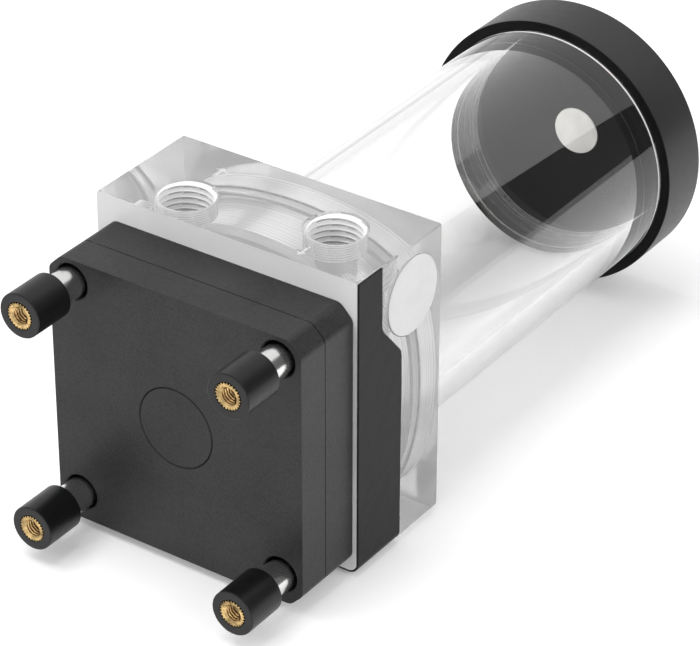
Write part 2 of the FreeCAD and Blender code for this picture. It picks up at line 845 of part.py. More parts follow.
def pump_top_block():
    body = new_body("pump_top_block", z="block_z")
    outline = new_sketch(body, "block_outline")
    rectangle(outline, "-block_half_width", "-block_front", "block_half_width", "block_back")
    pad(body, outline, "block_thickness")
    front = value("-block_front")
    soften(body, "Fillet", "block_front_corners", "block_corner",
           lambda edge: is_upright(edge) and abs(edge.BoundBox.YMin - front) < 1e-4)
    cover_recess(body)
    back = value("block_back")
    soften(body, "Fillet", "block_back_corners", "block_bend",
           lambda edge: is_upright(edge) and abs(edge.BoundBox.YMin - back) < 1e-4)
    badge_seat(body)
    wet_chambers(body)
    ports(body)
    screws = new_sketch(body, "block_screw_holes")
    corner_circles(screws, "stud_radius + screw_gap")
    pocket(body, screws, "screw_engagement + 2 * screw_gap", upward=True)
    keep(body)


def is_step_corner(edge):
    """The short edges through the sheet, or its recess, at the two corners of the step."""
    box = edge.BoundBox
    across = box.XLength > 0.5 * value("sheet_thickness") and box.YLength < 1e-6 and box.ZLength < 1e-6
    places = (value("-block_front + notch_start"), value("-block_front + notch_end"))
    return across and box.XMin > 0 and box.ZMin > 1 and min(abs(box.YMin - place) for place in places) < 1e-4


def cover_recess(body):
    """The step, one sheet deep, round the +X and +Y sides of the block."""
    back_step = new_sketch(body, "recess_band")
    polygon(back_step, [
        ("block_half_width + 1", "-block_front + notch_end"),
        ("block_half_width + 1", "block_back + 1"),
        ("-block_half_width - 1", "block_back + 1"),
        ("-block_half_width - 1", "block_back - sheet_thickness"),
        ("block_half_width - sheet_thickness", "block_back - sheet_thickness"),
        ("block_half_width - sheet_thickness", "-block_front + notch_end")])
    pocket(body, back_step, "sheet_height", upward=True)
    side_step = new_sketch(body, "recess_side", "YZ_Plane", height="block_half_width")
    polygon(side_step, [
        ("-block_front - 1", "-1"),
        ("-block_front + notch_end + 1", "-1"),
        ("-block_front + notch_end + 1", "sheet_height"),
        ("-block_front + notch_end", "sheet_height"),
        ("-block_front + notch_start", "sheet_neck"),
        ("-block_front - 1", "sheet_neck")])
    pocket(body, side_step, "sheet_thickness")
    soften(body, "Fillet", "recess_step_blends", "notch_blend", is_step_corner)
    recess_back = value("block_back - sheet_thickness")
    corners = [(value("block_half_width - sheet_thickness"), recess_back),
               (value("-block_half_width"), recess_back)]
    soften(body, "Fillet", "recess_bend", "block_bend - sheet_thickness",
           lambda edge: any(stands_at(edge, *corner) for corner in corners))


def badge_seat(body):
    seat = new_sketch(body, "badge_seat", "YZ_Plane", height="block_half_width")
    circle(seat, "badge_radius + slide_gap", "-block_front + badge_from_front", "badge_height")
    pocket(body, seat, "badge_pocket")


def wet_chambers(body):
    """The volute below, the well and the tube's seat above, and the eye between them."""
    top = "block_thickness"
    volute = new_sketch(body, "volute")
    circle(volute, "volute_radius")
    pocket(body, volute, "volute_depth", upward=True)
    groove = new_sketch(body, "pump_seal_groove")
    circle(groove, "pump_groove_radius")
    circle(groove, "pump_groove_radius + pump_groove_width")
    pocket(body, groove, "pump_groove_depth", upward=True)
    turned(body, "well_section", [
        ("0", "volute_depth"),
        ("eye_radius", "volute_depth"),
        ("eye_radius", "volute_depth + volute_roof"),
        ("well_radius - 2", "volute_depth + volute_roof"),
        ("well_radius", "volute_depth + volute_roof + 2"),
        ("well_radius", top),
        ("0", top)], cut=True)
    floor = top + " - seat_depth"
    turned(body, "seat_section", [
        ("well_radius - 1", floor),
        ("seat_groove_radius", floor),
        ("seat_groove_radius", floor + " - seat_groove_depth"),
        ("seat_groove_radius + seat_groove_width", floor + " - seat_groove_depth"),
        ("seat_groove_radius + seat_groove_width", floor),
        ("socket_radius", floor),
        ("socket_radius", top + " - tube_edge"),
        ("socket_radius + tube_edge", top),
        ("well_radius - 1", top)], cut=True)


def ports(body):
    """The outlet port meets the volute at its rim, and the inlet port opens into the well."""
    for name, x, height in (("out", "-out_port_x", "out_port_height"), ("inlet", "in_port_x", "in_port_height")):
        hole = new_sketch(body, name + "_port", "XZ_Plane", height="block_front")
        circle(hole, "port_radius", x, height)
        pocket(body, hole, "port_depth")
        mouth_edge = port_edge_test(x, height)
        chamfer = soften(body, "Chamfer", name + "_port_mouth", "port_mouth - port_radius", mouth_edge)
        chamfer.ChamferType = "Two distances"
        bind(chamfer, "Size2", "port_mouth_depth")
    doc.recompute()
    out_passage = new_sketch(body, "out_passage", "XZ_Plane", height="block_front")
    circle(out_passage, "out_passage_radius", "-out_port_x", "out_passage_height")
    pocket_from_port(body, out_passage, "block_front")
    in_passage = new_sketch(body, "in_passage", "XZ_Plane", height="block_front")
    circle(in_passage, "in_passage_radius", "in_port_x", "in_port_height")
    pocket_from_port(body, in_passage, "block_front - in_passage_radius")


def pocket_from_port(body, sketch, reach):
    """A passage that starts inside a port, so its sketch is moved in by the port's mouth."""
    bind(sketch, "AttachmentOffset.Base.z", "block_front - port_depth / 2")
    pocket(body, sketch, "%s - port_depth / 2" % reach)


def port_edge_test(x, height):
    centre = FreeCAD.Vector(value(x), value("-block_front"), value(height))

    def test(edge):
        round_edge = hasattr(edge.Curve, "Radius") and abs(edge.Curve.Radius - value("port_radius")) < 1e-4
        return round_edge and (edge.Curve.Center - centre).Length < 1e-3
    return test


# Tube, end cap and plug

def reservoir_tube():
    body = new_body("reservoir_tube", z="seat_z")
    edge = "tube_edge"
    turned(body, "tube_section", [
        ("tube_inner + tube_bevel", "0"),
        ("tube_radius - " + edge, "0"),
        ("tube_radius", edge),
        ("tube_radius", "tube_length - " + edge),
        ("tube_radius - " + edge, "tube_length"),
        ("tube_inner + tube_bevel", "tube_length"),
        ("tube_inner", "tube_length - tube_bevel"),
        ("tube_inner", "tube_bevel")])
    keep(body)


def end_cap():
    """The cap slides over the tube, which stops on a shoulder above an O-ring groove in the skirt."""
    body = new_body("end_cap", z="cap_z")
    groove_end = "cap_groove_start + cap_groove_width"
    turned(body, "cap_section", [
        ("port_radius", "cap_floor"),
        ("cap_recess_radius", "cap_floor"),
        ("cap_recess_radius", "cap_lap"),
        ("socket_radius", "cap_lap"),
        ("socket_radius", groove_end),
        ("socket_radius + cap_groove_depth", groove_end),
        ("socket_radius + cap_groove_depth", "cap_groove_start"),
        ("socket_radius", "cap_groove_start"),
        ("socket_radius", "tube_edge"),
        ("socket_radius + tube_edge", "0"),
        ("cap_radius - cap_edge", "0"),
        ("cap_radius", "cap_edge"),
        ("cap_radius", "cap_height - cap_edge"),
        ("cap_radius - cap_edge", "cap_height"),
        ("port_radius + 0.6", "cap_height"),
        ("port_radius", "cap_height - 0.6")])
    keep(body)


def fill_plug():
    body = new_body("fill_plug", z="cap_z + cap_height")
    shank = "port_radius - plug_gap"
    turned(body, "plug_section", [
        ("0", "-cap_roof"),
        (shank + " - plug_edge", "-cap_roof"),
        (shank, "-cap_roof + plug_edge"),
        (shank, "0"),
        ("plug_seal_inner - fit_gap", "0"),
        ("plug_seal_inner - fit_gap", "plug_seal_height"),
        ("plug_seal_outer + fit_gap", "plug_seal_height"),
        ("plug_seal_outer + fit_gap", "0"),
        ("plug_head_radius", "0"),
        ("plug_head_radius", "plug_head_height - 0.4"),
        ("plug_head_radius - 0.4", "plug_head_height"),
        ("0", "plug_head_height")])
    socket = new_sketch(body, "hex_socket", height="plug_head_height")
    reach = 2 / math.sqrt(3)
    corners = []
    for index in range(6):
        angle = math.radians(60 * index)
        corners.append(("plug_hex * %.6f" % (reach * math.cos(angle)),
                        "plug_hex * %.6f" % (reach * math.sin(angle))))
    polygon(socket, corners)
    pocket(body, socket, "plug_hex_depth")
    keep(body)


# Sheet cover and badge

def side_cover():
    """Thin sheet bent round the +X and +Y sides, cut away beside the badge."""
    body = new_body("side_cover", z="block_z")
    gap = "fit_gap"
    band = new_sketch(body, "sheet_band")
    polygon(band, [
        ("block_half_width", "-block_front"),
        ("block_half_width", "block_back"),
        ("-block_half_width", "block_back"),
        ("-block_half_width", "block_back - sheet_thickness + " + gap),
        ("block_half_width - sheet_thickness + " + gap, "block_back - sheet_thickness + " + gap),
        ("block_half_width - sheet_thickness + " + gap, "-block_front")])
    pad(body, band, "sheet_height - " + gap)
    outer = (value("block_half_width"), value("block_back"))
    soften(body, "Fillet", "sheet_outer_bend", "block_bend", lambda edge: stands_at(edge, *outer))
    inner_x = value("block_half_width - sheet_thickness + fit_gap")
    inner_y = value("block_back - sheet_thickness + fit_gap")
    soften(body, "Fillet", "sheet_inner_bend", "block_bend - sheet_thickness + fit_gap",
           lambda edge: stands_at(edge, inner_x, inner_y))
    notch = new_sketch(body, "sheet_notch", "YZ_Plane", height="block_half_width + 1")
    block_notch(notch, " - fit_gap")
    pocket(body, notch, "sheet_thickness + 2")
    soften(body, "Fillet", "notch_blends", "notch_blend", is_step_corner)
    keep(body)


def side_badge():
    body = new_body("side_badge", "block_half_width - badge_pocket + fit_gap",
                    "-block_front + badge_from_front", "block_z + badge_height")
    body.Placement = FreeCAD.Placement(body.Placement.Base, FreeCAD.Rotation(FreeCAD.Vector(0, 1, 0), 90))
    top = "badge_pocket - fit_gap + badge_proud"
    turned(body, "badge_section", [
        ("0", "0"), ("badge_radius", "0"), ("badge_radius", top + " - 0.2"),
        ("badge_radius - 0.2", top), ("0", top)])
    keep(body)


def write_parts():
    """Checks every object and writes each sub-part to its own file."""
    doc.recompute()
    for item in doc.Objects:
        if "Invalid" in item.State or "Error" in item.State:
            raise RuntimeError(item.Name + " did not compute")
    os.makedirs("parts", exist_ok=True)
    for item in NODES:
        shape = item.Shape
        if shape.isNull() or not shape.isValid() or not shape.Solids:
            raise RuntimeError(item.Label + " has no valid solid")
        shape.exportStep("parts/%s.step" % item.Label)
        print(item.Label, len(shape.Solids), round(shape.Volume, 1))


dampers()
damper_inserts()
damper_studs()
standoffs()
pump_bottom_cover()
pump_housing()
cable_grommet()
stator_core()
sleeve_round_tooth("coil_bobbins", "fit_gap", "bobbin_wall", "bobbin_length", "pole_radius + shoe_depth + fit_gap")
sleeve_round_tooth("stator_coils", "(2 * fit_gap + bobbin_wall)", "coil_thickness", "bobbin_length - 4 * fit_gap",
                   "pole_radius + shoe_depth + 3 * fit_gap")
control_board()
board_components()
rotor_can()
shaft_and_washer()
rotor_rings()
impeller()
seals()
pump_top_block()
reservoir_tube()
end_cap()
fill_plug()
side_cover()
side_badge()
write_parts()
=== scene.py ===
import json
import math

import bmesh
import bpy
from mathutils import Matrix, Vector

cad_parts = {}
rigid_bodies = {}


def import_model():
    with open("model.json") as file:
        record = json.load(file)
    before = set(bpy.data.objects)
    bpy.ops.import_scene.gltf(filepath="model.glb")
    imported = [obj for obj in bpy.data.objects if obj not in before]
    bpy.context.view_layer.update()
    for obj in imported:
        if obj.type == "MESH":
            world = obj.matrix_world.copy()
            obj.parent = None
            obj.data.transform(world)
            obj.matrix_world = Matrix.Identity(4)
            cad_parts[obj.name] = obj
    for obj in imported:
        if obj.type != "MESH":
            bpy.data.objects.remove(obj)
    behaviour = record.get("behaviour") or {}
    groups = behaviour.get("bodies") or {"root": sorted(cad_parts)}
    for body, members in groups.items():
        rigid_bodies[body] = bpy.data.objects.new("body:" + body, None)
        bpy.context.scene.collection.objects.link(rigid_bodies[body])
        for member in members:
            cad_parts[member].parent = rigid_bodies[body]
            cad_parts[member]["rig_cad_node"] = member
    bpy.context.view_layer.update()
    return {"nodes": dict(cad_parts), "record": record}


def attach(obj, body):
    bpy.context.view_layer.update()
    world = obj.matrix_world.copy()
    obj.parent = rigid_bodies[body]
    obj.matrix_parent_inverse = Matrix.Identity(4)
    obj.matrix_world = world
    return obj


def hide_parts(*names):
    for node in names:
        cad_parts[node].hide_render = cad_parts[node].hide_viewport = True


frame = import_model()
MM = 0.001

# Sizes in millimetres, as in the part's source.
# Heights of the pump's cover, the seam between its two shells, the clear block and the block's top
COVER_Z, SEAM_Z, BLOCK_Z, TOP_Z = 16.2, 24.3, 33.8, 63.0
# Clear block: half its width, its port face and its back
HALF_X, FRONT_Y, BACK_Y = 32.6, -36.3, 33.4
# Pump shells: half their width, front, back, corner cut, wall, screw boss, bevel at the seam, height of the lead
SHELL_X, SHELL_FRONT, SHELL_BACK, SHELL_CUT = 31.2, -30.8, 32.0, 3.1
WALL, BOSS, SEAM_BEVEL = 2.2, 5.2, 0.22
LEAD_Z = SEAM_Z + 3.9
# Sheet on the block: thickness, its two heights, where its step starts and ends behind the port face, its gap
SHEET, SHEET_LOW, SHEET_HIGH = 0.5, 8.2, 15.3
STEP_START, STEP_END, STEP_BEYOND = 14.8, 23.0, 28.0
SHEET_GAP = 0.05
# Badge: the middle of its disc
BADGE_Y, BADGE_Z = FRONT_Y + 11.7, BLOCK_Z + 18.9
# Port threads: radius at the core and at the crest, pitch, depth
PORT_CORE, PORT_CREST, PORT_PITCH, PORT_DEPTH = 5.72, 6.55, 1.337, 10.5
# Ports: name, x, z, then the passage's radius, its end behind the port face and its drop below the port
PORTS = (("out", -16.4, 42.6, 2.8, 36.3, 2.9), ("inlet", 16.3, 49.0, 4.5, 24.0, 0.0))
# Feet: height, and the name and middle of each
FOOT_TOP, FOOT = 10.0, 25.6
CORNERS = (("front_left", -FOOT, -FOOT), ("front_right", FOOT, -FOOT),
           ("back_left", -FOOT, FOOT), ("back_right", FOOT, FOOT))
# Brass inserts: depth, number of knurls, radius outside and between them, and the M4 thread
INSERT_DEPTH, KNURLS, KNURL_OUT, KNURL_IN = 5.0, 26, 3.0, 2.6
M4_CORE, M4_CREST, M4_PITCH = 1.65, 2.0, 0.7
# Tube: radii and ends
TUBE_IN, TUBE_OUT, TUBE_LOW, TUBE_HIGH = 25.0, 30.0, 57.6, 163.8
# End cap: rim, floor of its recess and top
CAP_Z, CAP_FLOOR, CAP_TOP = 157.5, 167.3, 171.2

SMOOTH_ANGLE = 32.0
TURN_TO_X = Matrix.Rotation(math.radians(90.0), 4, "Y")
WHITE = (1.0, 1.0, 1.0, 1.0)


def new_object(name, data):
    thing = bpy.data.objects.new(name, data)
    bpy.context.scene.collection.objects.link(thing)
    return thing


# Camera, set from the photo

def make_camera():
    data = bpy.data.cameras.new("camera")
    camera = new_object("camera", data)
    spot = Vector((0.347168, -0.368665, -0.423724))
    view = Vector((-0.48486, 0.52272, 0.70119)).normalized()
    level = Vector((0.8217, -0.0023, 0.5700)).normalized()
    up = level.cross(view).normalized()
    right = view.cross(up).normalized()
    turn = Matrix((right, up, -view)).transposed().to_4x4()
    camera.matrix_world = Matrix.Translation(spot) @ turn
    data.sensor_fit = "HORIZONTAL"
    data.sensor_width = 36.0
    data.lens = 171.08
    data.shift_x = -0.0023
    data.shift_y = -0.0045
    data.clip_start = 0.01
    data.clip_end = 20.0
    bpy.context.scene.camera = camera


# Node helpers

class Nodes:
    """A short way to build a material's or the world's node tree."""

    def __init__(self, owner):
        owner.use_nodes = True
        self.tree = owner.node_tree
        self.tree.nodes.clear()

    def add(self, kind, inputs=None, **settings):
        node = self.tree.nodes.new(kind)
        for key, item in settings.items():
            setattr(node, key, item)
        for key, item in (inputs or {}).items():
            socket = node.inputs[key]
            if isinstance(item, bpy.types.NodeSocket):
                self.tree.links.new(item, socket)
            else:
                socket.default_value = item
        return node

    def math(self, operation, *values):
        return self.add("ShaderNodeMath", dict(enumerate(values)), operation=operation).outputs[0]

    def mean(self, one, two, share):
        """The weighted mean of two values, where the second has the share given."""
        return self.math("ADD", self.math("MULTIPLY", one, 1 - share), self.math("MULTIPLY", two, share))

    def place(self):
        return self.add("ShaderNodeTexCoord").outputs["Object"]

    def mapped(self, scale=(1.0, 1.0, 1.0), turn=(0.0, 0.0, 0.0), source=None):
        inputs = {"Vector": source or self.place(), "Scale": scale, "Rotation": turn}
        return self.add("ShaderNodeMapping", inputs).outputs["Vector"]

    def noise(self, scale, detail=2.0, source=None, rough=0.5):
        inputs = {"Vector": source or self.place(), "Scale": scale, "Detail": detail, "Roughness": rough}
        return self.add("ShaderNodeTexNoise", inputs).outputs["Fac"]

    def ramp(self, value, low, high, at=(0.3, 0.7)):
        """Colours from low to high, between two places in the value's range."""
        node = self.add("ShaderNodeValToRGB", {"Fac": value})
        for element, place, colour in zip(node.color_ramp.elements, at, (low, high)):
            element.position = place
            element.color = (*colour, 1.0)
        return node.outputs["Color"]

    def tones(self, value, colour, spread):
        """A colour that gets darker and brighter by the spread."""
        return self.ramp(value, [c * (1 - spread) for c in colour], [c * (1 + spread) for c in colour])

    def span(self, value, low, high):
        inputs = {"Value": value, "To Min": low, "To Max": high}
        return self.add("ShaderNodeMapRange", inputs).outputs["Result"]

    def bump(self, height, distance, strength):
        inputs = {"Height": height, "Distance": distance, "Strength": strength}
        return self.add("ShaderNodeBump", inputs).outputs["Normal"]

    def turned(self):
        """Distance from the axis plus height: it changes across flat faces and up round walls alike."""
        split = self.add("ShaderNodeSeparateXYZ", {"Vector": self.place()})
        square = self.math("ADD", self.math("POWER", split.outputs["X"], 2.0),
                           self.math("POWER", split.outputs["Y"], 2.0))
        return self.math("ADD", self.math("SQRT", square), split.outputs["Z"])

    def principled(self, **inputs):
        """The main shader, with its sockets' names written in lower case with underscores."""
        named = {key.replace("_", " ").title().replace("Ior", "IOR"): item for key, item in inputs.items()}
        self.surface(self.add("ShaderNodeBsdfPrincipled", named).outputs[0])

    def surface(self, shader):
        output = self.add("ShaderNodeOutputMaterial")
        self.tree.links.new(shader, output.inputs["Surface"])


# Materials. Lengths here are in metres, and the scales of noise are per metre.

def new_material(name):
    material = bpy.data.materials.new(name)
    return material, Nodes(material)


def moulded(name, colour, grain, rough, scale, spread=0.25, gloss=0.5):
    """Moulded plastic or rubber with a fine grain and soft changes of tone."""
    material, n = new_material(name)
    fine = n.noise(scale)
    n.principled(base_color=n.tones(n.mean(n.noise(60.0, 3.0), fine, 0.6), colour, spread),
                 roughness=n.span(n.noise(900.0), *rough),
                 specular_ior_level=gloss, normal=n.bump(fine, grain, 0.6))
    return material


def turned_plastic(name, colour, rough, gloss):
    """Turned plastic: fine rings on its flat faces and round its sides."""
    material, n = new_material(name)
    ring_step = 0.00035
    rings = n.math("SINE", n.math("MULTIPLY", n.turned(), 2 * math.pi / ring_step))
    height = n.math("ADD", n.math("MULTIPLY", rings, 0.3), n.noise(4000.0))
    n.principled(base_color=n.tones(n.noise(45.0), colour, 0.15),
                 roughness=n.span(n.noise(700.0), rough - 0.05, rough + 0.08),
                 specular_ior_level=gloss, normal=n.bump(height, 0.000012, 0.5))
    return material


def metal(name, colour, rough, stretch, depth, scale=3000.0, dark=0.86, cloud=220.0):
    """Bright metal with fine tool lines."""
    material, n = new_material(name)
    lines = n.noise(scale, 3.0, n.mapped(stretch))
    n.principled(base_color=n.ramp(n.noise(cloud), [c * dark for c in colour], colour), metallic=1.0,
                 roughness=n.span(lines, rough * 0.8, rough * 1.3), normal=n.bump(lines, depth, 0.6))
    return material


def brushed_black():
    """Black anodised sheet with straight slanting hairlines."""
    material, n = new_material("brushed_black")
    slanted = n.mapped(turn=(math.radians(42.0), 0.0, math.radians(8.0)))
    along = n.mapped((1.0, 0.045, 1.0), source=slanted)
    lines = n.noise(5200.0, 4.0, along, 0.7)
    tone = n.mean(lines, n.noise(900.0, 2.0, along), 0.25)
    n.principled(base_color=n.ramp(tone, (0.008, 0.008, 0.0083), (0.032, 0.032, 0.033), (0.3, 0.72)),
                 specular_ior_level=0.1, roughness=n.span(lines, 0.34, 0.55),
                 normal=n.bump(lines, 0.00002, 0.55))
    return material


def clear_acrylic(name, rough, rings=0.0, clear=1.0, coat=0.0, tint=0.988):
    """Clear acrylic, polished or with the faint rings that a cutter leaves, whose paler bands are partly painted
    highlights for the glints of those rings.
    """
    material, n = new_material(name)
    if rings:
        height = n.noise(2600.0, 3.0, n.add("ShaderNodeCombineXYZ", {"X": n.turned()}).outputs[0])
        # The rings' paler bands in the colour are partly painted highlights, for the glints the cutter's rings
        # throw.
        colour = n.ramp(height, (0.58, 0.585, 0.59), (1.0, 1.0, 1.0), (0.40, 0.53))
    else:
        height = n.noise(140.0)
        colour = (tint, tint, tint, 1.0)
    n.principled(base_color=colour, transmission_weight=clear, ior=1.49, roughness=rough, coat_weight=coat,
                 normal=n.bump(height, rings or 0.000006, 0.4))
    return material


def badge_material():
    """Pale plastic that lets a little light through."""
    material, n = new_material("badge_pale")
    n.principled(base_color=n.ramp(n.noise(260.0, 3.0), (0.80, 0.80, 0.805), (0.85, 0.85, 0.85)),
                 transmission_weight=0.1, ior=1.49, roughness=0.34,
                 normal=n.bump(n.noise(3800.0), 0.00001, 0.4))
    return material


# Name, colour, depth of the grain, lowest and highest roughness, scale of the grain, spread of tone, gloss
MOULDED = (
    ("rubber_black", (0.005, 0.005, 0.0053), 0.00005, (0.3, 0.42), 4200.0, 0.6, 0.34),
    ("pump_black", (0.018, 0.018, 0.0184), 0.00006, (0.38, 0.52), 3000.0, 0.75, 0.34),
    ("bobbin_white", (0.74, 0.73, 0.68), 0.00001, (0.4, 0.5), 2000.0, 0.05),
    ("board_green", (0.02, 0.16, 0.07), 0.00001, (0.3, 0.4), 1500.0, 0.15),
    ("component_black", (0.04, 0.04, 0.044), 0.00001, (0.4, 0.5), 2500.0),
    ("can_black", (0.04, 0.04, 0.042), 0.00001, (0.3, 0.4), 2600.0),
    ("ceramic_white", (0.80, 0.79, 0.76), 0.000006, (0.12, 0.2), 3000.0, 0.03),
    ("bush_grey", (0.12, 0.12, 0.125), 0.00002, (0.4, 0.55), 4000.0),
    ("impeller_black", (0.035, 0.035, 0.037), 0.00001, (0.35, 0.45), 2600.0),
    ("seal_black", (0.02, 0.02, 0.021), 0.00001, (0.35, 0.45), 3000.0),
    ("seal_pale", (0.78, 0.79, 0.80), 0.00001, (0.35, 0.45), 3000.0, 0.04),
    # A dark grey that paints shade round the badge's edge.
    ("badge_rim", (0.12, 0.12, 0.12), 0.00001, (0.3, 0.4), 3000.0),
)
# Name, colour, roughness, stretch of the tool lines, their depth and scale, darkest share, scale of the tones
METAL = (
    # The brass's patches, from a fifth to full brightness, are partly random tone and partly painted reflections,
    # for the light and dark spots its faces mirror.
    ("insert_brass", (0.80, 0.56, 0.25), 0.16, (1.0, 1.0, 0.2), 0.000003, 3000.0, 0.22, 620.0),
    # A dark brown that paints shade in the roots of the inserts' threads.
    ("insert_root", (0.2, 0.075, 0.02), 0.35, (1.0, 1.0, 0.2), 0.000003),
    ("steel_bright", (0.80, 0.80, 0.79), 0.2, (0.2, 0.2, 1.0), 0.0000025),
    ("lamination_steel", (0.30, 0.30, 0.31), 0.4, (0.05, 0.05, 1.0), 0.00004, 2600.0),
    ("winding_copper", (0.80, 0.38, 0.20), 0.3, (0.1, 0.1, 1.0), 0.00008, 2200.0),
    ("magnet_dark", (0.16, 0.16, 0.17), 0.45, (1.0, 1.0, 1.0), 0.00002),
    ("plug_bright", (0.92, 0.91, 0.87), 0.3, (1.0, 1.0, 1.0), 0.000006),
)
# Name, roughness, depth of the cutter's rings, share that is clear, coat, tint
ACRYLIC = (
    ("acrylic_clear", 0.0, 0.0, 1.0, 0.15),
    # A quarter of this clear acrylic is diffuse white: painted light, an even pale sheen on the block.
    ("acrylic_block", 0.0, 0.0, 0.76),
    ("acrylic_machined", 0.12, 0.00015, 0.35),
    # Frosted: the block's sawn faces, and the painted highlight band on the tube.
    ("acrylic_sawn", 0.3, 0.0, 0.1),
    ("acrylic_thread", 0.12, 0.0, 0.1),
    # A darker, less clear acrylic that paints shade in the roots of the port threads.
    ("acrylic_root", 0.2, 0.0, 0.3, 0.0, 0.6),
    ("acrylic_end", 0.3, 0.0, 0.55),
)
# Name, colour, roughness, gloss
TURNED = (
    ("cap_black", (0.011, 0.011, 0.0114), 0.36, 0.38),
    # Near-black and dull: paints shade on the cap's rim and inside and in the seam between the pump's shells.
    ("cap_rim", (0.004, 0.004, 0.004), 0.5, 0.12),
)


def make_materials():
    """The materials of the record's slots, and those that only some faces of a piece get."""
    table = {"cover_black": brushed_black(), "badge_pale": badge_material()}
    for make, looks in ((moulded, MOULDED), (metal, METAL), (clear_acrylic, ACRYLIC), (turned_plastic, TURNED)):
        for look in looks:
            table[look[0]] = make(*look)
    return table


def dress_cad_nodes(m):
    """Gives each CAD node its slot's material, for those that no piece here replaces."""
    slots = {part["node"]: part["material_slot"] for part in frame["record"]["subparts"]}
    for piece in frame["nodes"].values():
        piece.data.materials.clear()
        piece.data.materials.append(m[slots[piece["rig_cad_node"]]])


# Mesh helpers. Outlines are in millimetres, and a lathe's outline holds pairs of radius and height.

def rounded(points, reach, closed=True, steps=4):
    """Replaces each corner of an outline by a small curve that starts at most reach before it."""
    if reach <= 0:
        return list(points)
    count = len(points)
    result = []
    for index, point in enumerate(points):
        corner = Vector(point)
        if not closed and index in (0, count - 1):
            result.append(tuple(corner))
            continue
        before = Vector(points[index - 1]) - corner
        after = Vector(points[(index + 1) % count]) - corner
        distance = min(reach, 0.45 * before.length, 0.45 * after.length)
        start = corner + before.normalized() * distance
        end = corner + after.normalized() * distance
        for step in range(steps + 1):
            t = step / steps
            result.append(tuple(start * (1 - t) ** 2 + corner * 2 * t * (1 - t) + end * t ** 2))
    return result


def square_outline(inner, outer, low, high):
    """A lathe's outline for a disc or ring with square edges."""
    return [(inner, low), (outer, low), (outer, high), (inner, high)]


def circle(bm, radii, height):
    """A ring of vertices about Z, one for each radius."""
    ring = []
    for index, radius in enumerate(radii):
        a = 2 * math.pi * index / len(radii)
        ring.append(bm.verts.new((radius * MM * math.cos(a), radius * MM * math.sin(a), height * MM)))
    return ring


def bridge(bm, one, two):
    """Faces between two rings, of which one may be a single vertex on the axis."""
    count = max(len(one), len(two))
    for index in range(count if count > 1 else 0):
        after = (index + 1) % count
        if len(one) == 1:
            bm.faces.new((one[0], two[index], two[after]))
        elif len(two) == 1:
            bm.faces.new((one[index], two[0], one[after]))
        else:
            bm.faces.new((one[index], two[index], two[after], one[after]))


def smooth(piece, angle=SMOOTH_ANGLE):
    piece.data.shade_smooth()
    piece.data.set_sharp_from_angle(angle=math.radians(angle))


def to_object(name, bm, material):
    """Makes an object of a mesh, with its faces turned outwards."""
    bmesh.ops.recalc_face_normals(bm, faces=bm.faces)
    if bm.calc_volume(signed=True) < 0:
        bmesh.ops.reverse_faces(bm, faces=bm.faces)
    mesh = bpy.data.meshes.new(name)
    bm.to_mesh(mesh)
    bm.free()
    mesh.materials.append(material)
    piece = new_object(name, mesh)
    smooth(piece)
    return piece


def lathe(name, outline, material, edge=0.0, segments=128, at=(0, 0, 0), turn=None, steps=3):
    """Turns an outline about Z. It is closed where it doesn't touch the axis."""
    on_axis = 1e-6
    closed = all(radius > on_axis for radius, _ in outline)
    bm = bmesh.new()
    rings = []
    for radius, height in rounded(outline, edge, closed, steps):
        if radius < on_axis:
            rings.append([bm.verts.new((0, 0, height * MM))])
        else:
            rings.append(circle(bm, [radius] * segments, height))
    for one, two in zip(rings, rings[1:]):
        bridge(bm, one, two)
    if closed:
        bridge(bm, rings[-1], rings[0])
    place = Matrix.Translation(Vector(at) * MM) @ (turn or Matrix.Identity(4))
    bmesh.ops.transform(bm, matrix=place, verts=bm.verts)
    return to_object(name, bm, material)


def cylinder(name, radius, low, high, material, x=0.0, y=0.0, segments=64, turn=None):
    return lathe(name, square_outline(0, radius, low, high), material, 0.0, segments, (x, y, 0), turn)


def prism(name, outline, low, high, material, edge_low=0.0, edge_high=0.0, turn=None):
    """Pushes a flat outline up from low to high, with rounded rims."""
    bm = bmesh.new()
    below = [bm.verts.new((x * MM, y * MM, low * MM)) for x, y in outline]
    above = [bm.verts.new((x * MM, y * MM, high * MM)) for x, y in outline]
    bm.faces.new(list(reversed(below)))
    bm.faces.new(above)
    count = len(outline)
    for index in range(count):
        after = (index + 1) % count
        bm.faces.new((below[index], below[after], above[after], above[index]))
    for ring, amount in ((below, edge_low), (above, edge_high)):
        if amount > 0:
            rim = [e for e in bm.edges if e.verts[0] in ring and e.verts[1] in ring]
            bmesh.ops.bevel(bm, geom=rim, offset=amount * MM, segments=3, profile=0.5, affect="EDGES")
    if turn is not None:
        bmesh.ops.transform(bm, matrix=turn, verts=bm.verts)
    return to_object(name, bm, material)


def thread_cutter(name, core, crest, pitch, low, high, material, segments=96, rows=12):
    """A rod with a helical thread, made of so many rows a turn: cut away, it leaves a tapped hole along Z."""
    flat, flank = 0.12, 0.76
    bm = bmesh.new()
    count = int(round((high - low) / pitch * rows))
    rings = []
    for row in range(count + 1):
        height = low + (high - low) * row / count
        radii = []
        for index in range(segments):
            phase = (height / pitch - index / segments) % 1.0
            wave = min(max((abs(phase - 0.5) * 2 - flat) / flank, 0.0), 1.0)
            radii.append(core + (crest - core) * (1 - wave))
        rings.append(circle(bm, radii, height))
    for one, two in zip(rings, rings[1:]):
        bridge(bm, one, two)
    bm.faces.new(rings[0])
    bm.faces.new(list(reversed(rings[-1])))
    return to_object(name, bm, material)


